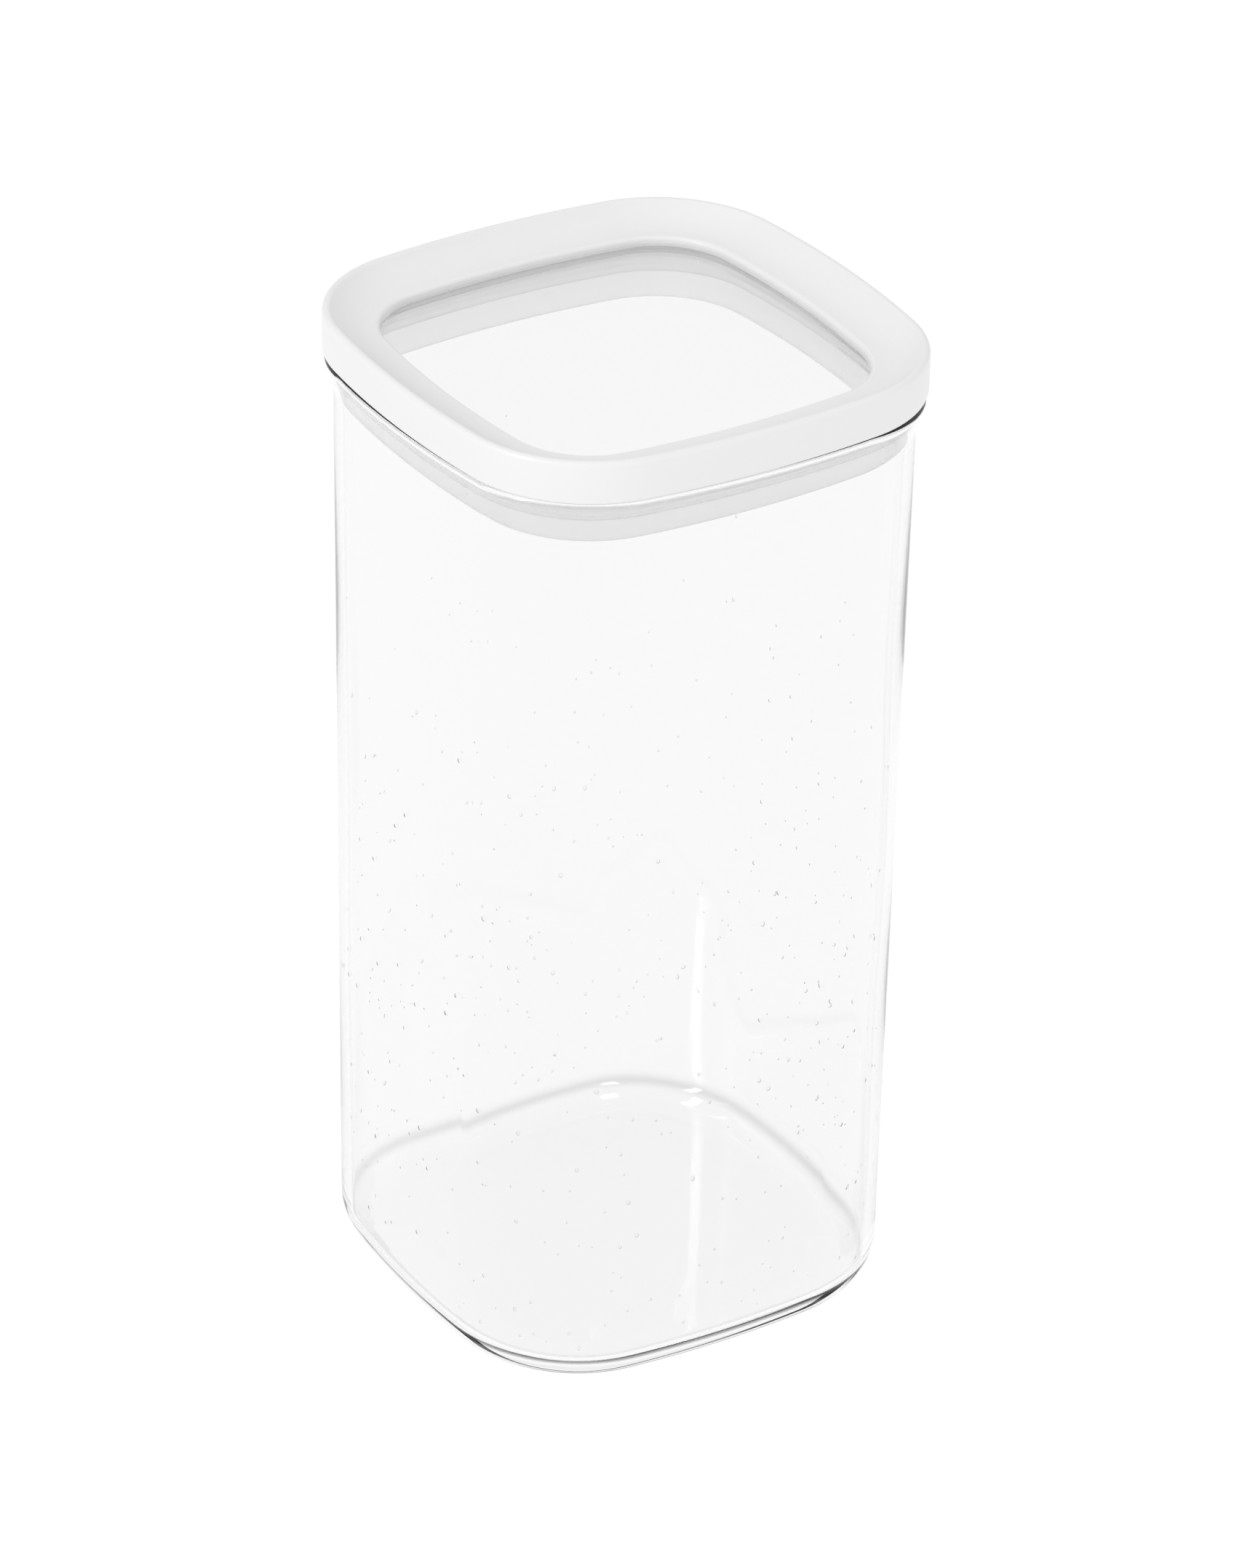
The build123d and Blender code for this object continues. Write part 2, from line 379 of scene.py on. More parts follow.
@dataclass(frozen=True)
class PaneFinish(Finish):
    """Thin clear plastic: light passes straight through, less what its surface mirrors."""

    tint: float
    ior: float
    roughness: float
    ripple_size: float
    ripple_depth: float

    def build(self) -> bpy.types.Material:
        """Make the material."""
        material = bpy.data.materials.new(self.name)
        material.use_nodes = True
        graph = Graph(material.node_tree)
        place = graph.node("ShaderNodeTexCoord").outputs["Object"]
        ripple = graph.noise(place, self.ripple_size, 1.0, 3.0)
        bump = {"Height": ripple, "Distance": self.ripple_depth, "Strength": 1.0}
        normal = graph.node("ShaderNodeBump", None, bump).outputs[0]
        facing = graph.node("ShaderNodeLayerWeight", None, {"Blend": 0.5, "Normal": normal}).outputs["Facing"]
        head_on = ((self.ior - 1) / (self.ior + 1)) ** 2
        share = head_on + (1 - head_on) * Term(graph, facing) ** 5.0
        through = graph.node("ShaderNodeBsdfTransparent", None, {"Color": grey(self.tint)})
        mirror = {"Color": grey(1.0), "Roughness": self.roughness, "Normal": normal}
        gloss = graph.node("ShaderNodeBsdfGlossy", None, mirror)
        pane = graph.node("ShaderNodeMixShader", None, {0: share, 1: through.outputs[0], 2: gloss.outputs[0]})
        graph.node("ShaderNodeOutputMaterial", None, {"Surface": pane.outputs[0]})
        return material


@dataclass(frozen=True)
class BubbleFinish(Finish):
    """The inside of a gas seed trapped in glass."""

    relative_ior: float
    clearest: float = 1.0
    tone_spread: float = 0.08
    patch_size: float = 20 * MM

    def build(self) -> bpy.types.Material:
        """Make the material."""
        return self.material(self.dress)

    def dress(self, graph: Graph, surface: bpy.types.Node) -> None:
        """Set the sockets for light that passes from glass into gas.

        Args:
            graph: The material's tree.
            surface: The Principled node.
        """
        place = graph.node("ShaderNodeTexCoord").outputs["Object"]
        patches = graph.noise(place, self.patch_size, 1.0, 2.0)
        tone = self.clearest - self.tone_spread + patches * self.tone_spread
        colour = graph.node("ShaderNodeCombineColor", None, {0: tone, 1: tone, 2: tone})
        graph.tree.links.new(colour.outputs[0], surface.inputs["Base Color"])
        surface.inputs["Roughness"].default_value = 0.0
        surface.inputs["Transmission Weight"].default_value = 1.0
        surface.inputs["IOR"].default_value = self.relative_ior


# ---- Outlines, profiles and meshes ----
@dataclass(frozen=True)
class Outline:
    """A rounded square of eight tangent arcs, centred on the Z axis."""

    half_width: float
    corner_radius: float
    side_radius: float
    side_steps: int = 14
    corner_steps: int = 30

    def inset(self, distance: float) -> "Outline":
        """The same outline moved inwards, its arcs keeping their centres."""
        return replace(
            self,
            half_width=self.half_width - distance,
            corner_radius=self.corner_radius - distance,
            side_radius=self.side_radius - distance,
        )

    def points(self) -> list[Point2]:
        """Points round the outline, anticlockwise from the +X side.

        Returns:
            One point for each step of the four side arcs and four corner arcs.
        """
        beyond = self.side_radius - self.half_width
        between = self.side_radius - self.corner_radius
        centre = (math.sqrt(2 * between**2 - beyond**2) - beyond) / 2
        side = math.atan2(centre, centre + beyond)
        quarter = []
        for step in range(self.side_steps):
            angle = -side + 2 * side * step / self.side_steps
            quarter.append((self.side_radius * math.cos(angle) - beyond, self.side_radius * math.sin(angle)))
        for step in range(self.corner_steps):
            angle = side + (math.pi / 2 - 2 * side) * step / self.corner_steps
            x = centre + self.corner_radius * math.cos(angle)
            quarter.append((x, centre + self.corner_radius * math.sin(angle)))
        outline: list[Point2] = []
        for _turn in range(4):
            outline += quarter
            quarter = [(-y, x) for x, y in quarter]
        return outline


def rounded(corners: Sequence[tuple[float, float, float]], closed: bool, steps: int = 6) -> list[Point2]:
    """Polyline with its corners rounded.

    Args:
        corners: (outwards, up, radius) of each corner.
        closed: Whether the last corner joins the first.
        steps: Segments in each rounded corner.

    Returns:
        The points of the rounded line.
    """
    line: list[Point2] = []
    count = len(corners)
    for index, (x, z, radius) in enumerate(corners):
        here = Vector((x, z))
        if radius <= 0 or (not closed and index in (0, count - 1)):
            line.append((x, z))
            continue
        back = (Vector(corners[index - 1][:2]) - here).normalized()
        ahead = (Vector(corners[(index + 1) % count][:2]) - here).normalized()
        half = back.angle(ahead) / 2
        middle = here + (back + ahead).normalized() * radius / math.sin(half)
        start = here + back * radius / math.tan(half) - middle
        end = here + ahead * radius / math.tan(half) - middle
        turn = start.angle_signed(end)
        for step in range(steps + 1):
            line.append(tuple(middle + Matrix.Rotation(-turn * step / steps, 2) @ start))
    return line


def arc(centre: Point2, radius: float, start: float, end: float, steps: int) -> list[Point2]:
    """Points of a circular arc, its angles in degrees."""
    angles = [math.radians(start + (end - start) * step / steps) for step in range(steps + 1)]
    return [(centre[0] + radius * math.cos(a), centre[1] + radius * math.sin(a)) for a in angles]


def new_object(name: str, data: bpy.types.ID) -> bpy.types.Object:
    """Link a new object at the origin."""
    piece = bpy.data.objects.new(name, data)
    bpy.context.scene.collection.objects.link(piece)
    return piece


def smooth_shaded(mesh: bpy.types.Mesh, crease_degrees: float) -> None:
    """Weld a mesh, turn its faces outwards and smooth all but its sharp edges.

    Args:
        mesh: The mesh to finish.
        crease_degrees: Edges that turn by more than this stay sharp.
    """
    shape = bmesh.new()
    shape.from_mesh(mesh)
    bmesh.ops.remove_doubles(shape, verts=shape.verts, dist=1e-6)
    bmesh.ops.recalc_face_normals(shape, faces=shape.faces)
    limit = math.radians(crease_degrees)
    for face in shape.faces:
        face.smooth = True
    for edge in shape.edges:
        edge.smooth = len(edge.link_faces) == 2 and edge.calc_face_angle() < limit
    shape.to_mesh(mesh)
    shape.free()


def join_rings(shape: bmesh.types.BMesh, rings: Sequence[Sequence[bmesh.types.BMVert]]) -> None:
    """Skin a stack of closed rings of vertices.

    Args:
        shape: The mesh being built.
        rings: The rings in order, all with the same number of vertices.
    """
    count = len(rings[0])
    for lower, upper in zip(rings, rings[1:]):
        for index in range(count):
            after = (index + 1) % count
            shape.faces.new((lower[index], lower[after], upper[after], upper[index]))


def poly_curve(name: str, points: Sequence[Sequence[float]]) -> bpy.types.Object:
    """Closed curve of straight runs, linked to the scene.

    Args:
        name: The object's name.
        points: (x, y, z) of each point.

    Returns:
        The curve's object.
    """
    curve = bpy.data.curves.new(name, "CURVE")
    curve.dimensions = "3D"
    spline = curve.splines.new("POLY")
    spline.points.add(len(points) - 1)
    for target, point in zip(spline.points, points):
        target.co = (*point, 1.0)
    spline.use_cyclic_u = True
    return new_object(name, curve)


# ---- Geometry Nodes ----
class GeometryTool:
    """A Geometry Nodes tree with named inputs, run once on an object to make a plain mesh."""

    INPUTS: dict[str, str] = {}

    def __init__(self, name: str) -> None:
        """Make the tree's sockets and let the subclass fill it.

        Args:
            name: The tree's name.
        """
        tree = bpy.data.node_groups.new(name, "GeometryNodeTree")
        self.graph = Graph(tree)
        self.identifiers: dict[str, str] = {}
        for label, kind in {"Geometry": "NodeSocketGeometry", **self.INPUTS}.items():
            socket = tree.interface.new_socket(label, in_out="INPUT", socket_type=kind)
            self.identifiers[label] = socket.identifier
        tree.interface.new_socket("Geometry", in_out="OUTPUT", socket_type="NodeSocketGeometry")
        self.given = self.graph.node("NodeGroupInput").outputs
        result = self.fill()
        real = self.graph.node("GeometryNodeRealizeInstances", None, {"Geometry": result})
        inputs = {"Geometry": real.outputs[0], "Material": self.given["Finish"]}
        dressed = self.graph.node("GeometryNodeSetMaterial", None, inputs)
        self.graph.node("NodeGroupOutput", None, {"Geometry": dressed.outputs[0]})

    def fill(self) -> bpy.types.NodeSocket:
        """Build the tree's own nodes and return their geometry."""
        raise NotImplementedError

    def run(self, guide: bpy.types.Object, name: str, values: dict[str, Any]) -> bpy.types.Object:
        """Run the tree on a guide object, which is then removed.

        Args:
            guide: The object that the tree works on.
            name: The new piece's name.
            values: The tree's inputs by name.

        Returns:
            The new piece, a plain mesh.
        """
        modifier = guide.modifiers.new(name, "NODES")
        modifier.node_group = self.graph.tree
        for label, value in values.items():
            modifier[self.identifiers[label]] = value
        evaluated = guide.evaluated_get(bpy.context.evaluated_depsgraph_get())
        mesh = bpy.data.meshes.new_from_object(evaluated)
        mesh.name = name
        guide.modifiers.clear()
        bpy.data.objects.remove(guide)
        return new_object(name, mesh)


class ProfileSweep(GeometryTool):
    """Carries a closed profile round a path, upright all the way."""

    INPUTS = {"Profile": "NodeSocketObject", "Finish": "NodeSocketMaterial"}

    def fill(self) -> bpy.types.NodeSocket:
        """Curve to Mesh, on a path whose normals lie level."""
        level = self.graph.node(
            "GeometryNodeSetCurveNormal", {"mode": "Z_UP"}, {"Curve": self.given["Geometry"]}
        )
        profile = self.graph.node("GeometryNodeObjectInfo", None, {"Object": self.given["Profile"]})
        inputs = {"Curve": level.outputs[0], "Profile Curve": profile.outputs["Geometry"]}
        return self.graph.node("GeometryNodeCurveToMesh", None, inputs).outputs[0]


class SeedScatter(GeometryTool):
    """Scatters flattened bubbles over a guide surface in the middle of the glass."""

    INPUTS = {
        "Density": "NodeSocketFloat",
        "Fade Start": "NodeSocketFloat",
        "Fade End": "NodeSocketFloat",
        "Smallest": "NodeSocketFloat",
        "Largest": "NodeSocketFloat",
        "Depth": "NodeSocketFloat",
        "Seed": "NodeSocketInt",
        "Finish": "NodeSocketMaterial",
    }

    def fill(self) -> bpy.types.NodeSocket:
        """Points on the faces, thinning out upwards, each with a small flattened ball."""
        graph, given = self.graph, self.given
        height = graph.term(
            "ShaderNodeSeparateXYZ", None, {0: graph.node("GeometryNodeInputPosition").outputs[0]}
        )
        height.socket = height.socket.node.outputs["Z"]
        fade = graph.term(
            "ShaderNodeMapRange",
            {"interpolation_type": "SMOOTHSTEP"},
            {
                "Value": height,
                "From Min": given["Fade Start"],
                "From Max": given["Fade End"],
                "To Min": 1.0,
                "To Max": 0.0,
            },
        )
        density = fade * Term(graph, given["Density"])
        points = graph.node(
            "GeometryNodeDistributePointsOnFaces",
            {"distribute_method": "RANDOM"},
            {"Mesh": given["Geometry"], "Density": density, "Seed": given["Seed"]},
        )
        share = graph.term(
            "FunctionNodeRandomValue",
            {"data_type": "FLOAT"},
            {"Min": 0.0, "Max": 1.0, "Seed": given["Seed"]},
        )
        smallest, largest = Term(graph, given["Smallest"]), Term(graph, given["Largest"])
        length = smallest + (largest - smallest) * share**3.0
        stretch = graph.term(
            "FunctionNodeRandomValue", {"data_type": "FLOAT"}, {"Min": 0.6, "Max": 1.0, "Seed": 7}
        )
        scale = graph.node(
            "ShaderNodeCombineXYZ", None, {0: length * stretch, 1: length, 2: Term(graph, given["Depth"])}
        )
        ball = graph.node("GeometryNodeMeshIcoSphere", None, {"Radius": 0.5, "Subdivisions": 3})
        soft = graph.node("GeometryNodeSetShadeSmooth", None, {"Geometry": ball.outputs[0]})
        inputs = {
            "Points": points.outputs["Points"],
            "Instance": soft.outputs[0],
            "Rotation": points.outputs["Rotation"],
            "Scale": scale.outputs[0],
        }
        return graph.node("GeometryNodeInstanceOnPoints", None, inputs).outputs[0]


def sweep_ring(
    tool: ProfileSweep, name: str, outline: Outline, profile: Sequence[Point2], finish: bpy.types.Material
) -> bpy.types.Object:
    """Carry a profile round an outline.

    Args:
        tool: The Geometry Nodes tree that does it.
        name: The piece's name.
        outline: The line where the profile's first coordinate is 0.
        profile: (outwards, up) of the closed profile's points.
        finish: The piece's material.

    Returns:
        The finished piece.
    """
    path = poly_curve(name + "_path", [(x, y, 0.0) for x, y in outline.points()])
    section = poly_curve(name + "_section", [(out, -up, 0.0) for out, up in profile])
    piece = tool.run(path, name, {"Profile": section, "Finish": finish})
    bpy.data.objects.remove(section)
    smooth_shaded(piece.data, LID_CREASE)
    return piece


# ---- Sub-assemblies ----
@dataclass(frozen=True)
class Levels:
    """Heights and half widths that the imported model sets."""

    lid_half: float
    top: float
    rim_foot: float
    window_top: float
    window_foot: float
    plug_foot: float
    seal_foot: float
    lip_half: float
    lip: float

    @staticmethod
    def read() -> "Levels":
        """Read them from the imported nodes' boxes.

        Returns:
            The levels, in metres.
        """
        rim_low, rim_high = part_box("lid_frame")
        pane_low, pane_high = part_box("lid_window")
        plug_low, _plug_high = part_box("plug_ring")
        seal_low, _seal_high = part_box("seal_ring")
        _jar_low, jar_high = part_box("glass_jar")
        return Levels(
            lid_half=rim_high.x,
            top=rim_high.z,
            rim_foot=rim_low.z,
            window_top=pane_high.z,
            window_foot=pane_low.z,
            plug_foot=plug_low.z,
            seal_foot=seal_low.z,
            lip_half=jar_high.x,
            lip=jar_high.z,
        )


@dataclass
class GlassJar:
    """The blown jar: rounded heel, nearly flat sides, and a flared, fire-polished lip."""

    levels: Levels
    lip_outline: Outline
    base_outline: Outline
    wall: float = 2.2 * MM
    floor: float = 4.6 * MM
    heel: float = 10.0 * MM
    inner_heel: float = 5.4 * MM
    push_up: float = 0.3 * MM
    push_up_reach: float = 20.0 * MM
    base_turn: float = -1.6
    flare: float = 1.9 * MM
    flare_height: float = 6.6 * MM
    lip_height: float = 9.5 * MM
    bead: float = 3.3 * MM
    bead_depth: float = 1.4 * MM
    bead_rounding: float = 1.2 * MM
    shoulder_rounding: float = 0.5 * MM
    blend_rounding: float = 7.0 * MM
    wall_steps: int = 40
    lip_rise: float = 0.52 * MM
    lip_wave: float = 0.62 * MM
    lip_high_side: float = 148.0
    inside_wave: float = 0.10 * MM
    seeds_per_square_metre: float = 14000.0
    foot_clear_angle: float = 43.0
    foot_clear_swing: float = 5.0
    foot_thick_side: float = -35.0
    foot_open_side: float = -123.0
    foot_openness: float = 0.88
    foot_reach: float = 6.0 * MM
    foot_flat_from: float = 0.7
    foot_flat_height: float = 1.0 * MM
    foot_first_angle: float = 12.0
    foot_first_fade: float = 8.0
    foot_last_fade: float = 2.0
    heel_tolerance: float = 0.02
    # Where and how tightly the painted shade line sits on the inner heel's bend.
    heel_shade_angle: float = 34.0
    heel_shade_spread: float = 13.0
    heel_shade_focus: float = 8.0
    lip_reach: float = 4.0 * MM
    lip_dip: float = 0.55
    lip_corner_dip: float = 0.125
    swell_heights: tuple[float, float] = (24 * MM, 17 * MM)
    swell_second: float = 0.7
    swell_from: float = 30 * MM
    swell_rise: float = 60 * MM
    swell_end: float = 12 * MM
    swell_fall: float = 40 * MM
    under_steps: int = 16
    guide_steps: int = 12
    seed_smallest: float = 0.40 * MM
    seed_largest: float = 1.25 * MM
    seed_depth: float = 0.32 * MM
    seed_fade: tuple[float, float] = (0.25, 0.85)
    seed_number: int = 11

    def lip_line(self) -> list[Point2]:
        """Outside, top and inside of the lip, from the outer wall over to the inner wall."""
        inner = self.flare + self.wall
        foot, bend, shoulder = (
            self.levels.lip - self.lip_height,
            self.levels.lip - self.flare_height,
            self.levels.lip - self.bead_depth,
        )
        corners = [
            (-self.flare, foot, 0.0),
            (-self.flare, bend, self.blend_rounding),
            (0.0, shoulder, self.shoulder_rounding),
            (0.0, self.levels.lip, self.bead_rounding),
            (-self.bead, self.levels.lip, self.bead_rounding),
            (-self.bead, shoulder, self.shoulder_rounding),
            (-inner, bend, self.blend_rounding),
            (-inner, foot, 0.0),
        ]
        return rounded(corners, closed=False, steps=8)

    def stations(self) -> list[tuple[float, float, float]]:
        """The jar's section as (share of the lip's outline, inset, height), base to base.

        Returns:
            Stations from the underside's middle, up the outside and down the inside.
        """
        foot = self.levels.lip - self.lip_height
        inner_centre = (-self.wall - self.inner_heel, self.floor + self.inner_heel)
        heel_out = arc((-self.heel, self.heel), self.heel, -90.0, 0.0, 45)
        heel_in = arc(inner_centre, self.inner_heel, 0.0, -90.0, 20)
        under = []
        for step in range(self.under_steps):
            part = step / self.under_steps
            lift = self.push_up * (0.5 + 0.5 * math.cos(math.pi * part))
            under.append((0.0, self.heel + self.push_up_reach * (1 - part), lift))
        rise = (foot - self.heel) / self.wall_steps
        rising = [self.heel + rise * step for step in range(1, self.wall_steps)]
        share = {z: (z - self.heel) / (foot - self.heel) for z in rising}
        outside = under + [(0.0, -out, z) for out, z in heel_out] + [(share[z], 0.0, z) for z in rising]
        lip = [(1.0, -out - self.flare, z) for out, z in self.lip_line()]
        inside = [(share[z], self.wall, z) for z in reversed(rising)] + [(0.0, -out, z) for out, z in heel_in]
        return outside + lip + inside

    def painted_heel_shade(self, inset: float, z: float) -> float:
        """How strongly the painted shade line on the bend of the inner heel shows, 0 to 1.

        Args:
            inset: Distance from the outer wall.
            z: Height.

        Returns:
            1 in the middle of the bend, 0 away from it.
        """
        across, down = self.wall + self.inner_heel - inset, self.floor + self.inner_heel - z
        along = math.degrees(math.atan2(down, across))
        away = math.hypot(down, across) / self.inner_heel - 1
        near = max(0.0, 1 - abs(away) * self.heel_shade_focus)
        return near * math.exp(-(((along - self.heel_shade_angle) / self.heel_shade_spread) ** 2))

    def foot_light(self, x: float, y: float, inset: float, z: float) -> float:
        """How freely light from the table enters the foot, 0 to 1.

        Args:
            x: Position along X.
            y: Position along Y.
            inset: Distance from the outer wall.
            z: Height.

        Returns:
            1 where light passes straight through, 0 where the glass bends it.
        """
        turn = math.atan2(y, x)
        facing = math.cos(turn - math.radians(self.foot_open_side))
        if z > self.heel or inset > self.heel + self.foot_reach or facing < 0:
            return 0.0
        if inset > self.heel * self.foot_flat_from:
            return 1.0 if z < self.foot_flat_height else 0.0
        across, down = self.heel - inset, self.heel - z
        if abs(math.hypot(across, down) / self.heel - 1) > self.heel_tolerance:
            return 0.0
        below = math.degrees(math.atan2(down, across))
        side = math.cos(turn - math.radians(self.foot_thick_side))
        clear = self.foot_clear_angle - self.foot_clear_swing * side
        first = clamped((below - self.foot_first_angle) / self.foot_first_fade)
        last = clamped((clear - below) / self.foot_last_fade)
        return self.foot_openness * first * last

    def ring(self, share: float, inset: float) -> list[Point2]:
        """One level of the jar: the base's outline blended towards the wall's at the lip."""
        base = self.base_outline.inset(inset).points()
        top = self.lip_outline.inset(self.flare + inset).points()
        turn = Matrix.Rotation(math.radians(self.base_turn) * (1 - share), 2)
        return [
            tuple(turn @ Vector((bx + (tx - bx) * share, by + (ty - by) * share)))
            for (bx, by), (tx, ty) in zip(base, top)
        ]

    def waved(self, x: float, y: float, z: float, inset: float) -> Vector:
        """A point moved by the slow unevenness that blowing leaves.

        Args:
            x: Position along X.
            y: Position along Y.
            z: Height.
            inset: Distance from the outer wall.

        Returns:
            The moved point.
        """
        angle = math.atan2(y, x)
        lip_share = max(0.0, (z - self.levels.lip + self.lip_reach) / self.lip_reach)
        away = angle + math.radians(self.lip_high_side)
        swing = (math.cos(away) - 1) * (self.lip_dip + self.lip_corner_dip * (1 - math.cos(4 * away)))
        lift = lip_share * (self.lip_rise + self.lip_wave * swing)
        inside = 1.0 if inset > self.wall * 0.9 else 0.0
        slow, fast = (z / height for height in self.swell_heights)
        swell = math.cos(3 * angle + slow) + self.swell_second * math.cos(5 * angle - fast)
        from_base = clamped((z - self.swell_from) / self.swell_rise)
        fade = from_base * clamped((self.levels.lip - z - self.swell_end) / self.swell_fall)
        reach = 1.0 - inside * fade * self.inside_wave * swell / math.hypot(x, y)
        return Vector((x * reach, y * reach, z + lift))

    def mesh(self) -> bpy.types.Mesh:
        """Skin of the jar, closed at the middle of the floor on both sides.

        Returns:
            The jar's mesh.
        """
        shape = bmesh.new()
        # Per-vertex strength of the painted shade line on the inner heel.
        painted_shade_layer = shape.verts.layers.float.new("painted_heel_shade")
        foot = shape.verts.layers.float.new("foot_light")
        rings = []
        for share, inset, z in self.stations():
            points = [self.waved(x, y, z, inset) for x, y in self.ring(share, inset)]
            rings.append([shape.verts.new(point) for point in points])
            for vertex in rings[-1]:
                vertex[painted_shade_layer] = self.painted_heel_shade(inset, z)
                vertex[foot] = self.foot_light(vertex.co.x, vertex.co.y, inset, z)
        join_rings(shape, rings)
        for ring in (rings[0], rings[-1]):
            self.close(shape, ring)
        mesh = bpy.data.meshes.new("jar_body")
        shape.to_mesh(mesh)
        shape.free()
        smooth_shaded(mesh, JAR_CREASE)
        return mesh

    @staticmethod
    def close(shape: bmesh.types.BMesh, ring: list[bmesh.types.BMVert]) -> None:
        """Fill the flat middle inside a ring with smaller rings and a fan.

        Args:
            shape: The mesh being built.
            ring: The vertices of the outermost ring.
        """
        count = len(ring)
        outer = ring
        for scale in (0.85, 0.6, 0.3, 0.1):
            inner = [shape.verts.new((v.co.x * scale, v.co.y * scale, v.co.z)) for v in ring]
            join_rings(shape, [outer, inner])
            outer = inner
        middle = shape.verts.new((0.0, 0.0, ring[0].co.z))
        for index in range(count):
            shape.faces.new((outer[index], outer[(index + 1) % count], middle))

    def seed_guide(self) -> bpy.types.Object:
        """Open sheet in the middle of the wall, on which the seeds lie."""
        shape = bmesh.new()
        rings = []
        foot = self.levels.lip - self.lip_height
        for step in range(self.guide_steps + 1):
            share = step / self.guide_steps
            z = self.heel + (foot - self.heel) * share
            points = self.ring(share, self.wall / 2)
            rings.append([shape.verts.new((x, y, z)) for x, y in points])
        join_rings(shape, rings)
        mesh = bpy.data.meshes.new("seed_guide")
        shape.to_mesh(mesh)
        shape.free()
        return new_object("seed_guide", mesh)

    def build(self, glass: bpy.types.Material, gas: bpy.types.Material) -> list[bpy.types.Object]:
        """Build the jar and its seeds.

        Args:
            glass: The jar's material.
            gas: The seeds' material.

        Returns:
            The pieces made.
        """
        jar = new_object("jar_body", self.mesh())
        jar.data.materials.append(glass)
        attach(jar, Body.JAR.value)
        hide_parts("glass_jar")
        values = {
            "Density": self.seeds_per_square_metre,
            "Fade Start": self.levels.lip * self.seed_fade[0],
            "Fade End": self.levels.lip * self.seed_fade[1],
            "Smallest": self.seed_smallest,
            "Largest": self.seed_largest,
            "Depth": self.seed_depth,
            "Seed": self.seed_number,
            "Finish": gas,
        }
        seeds = SeedScatter("seed_scatter").run(self.seed_guide(), "seed_bubbles", values)
        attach(seeds, Body.JAR.value)
        return [jar, seeds]


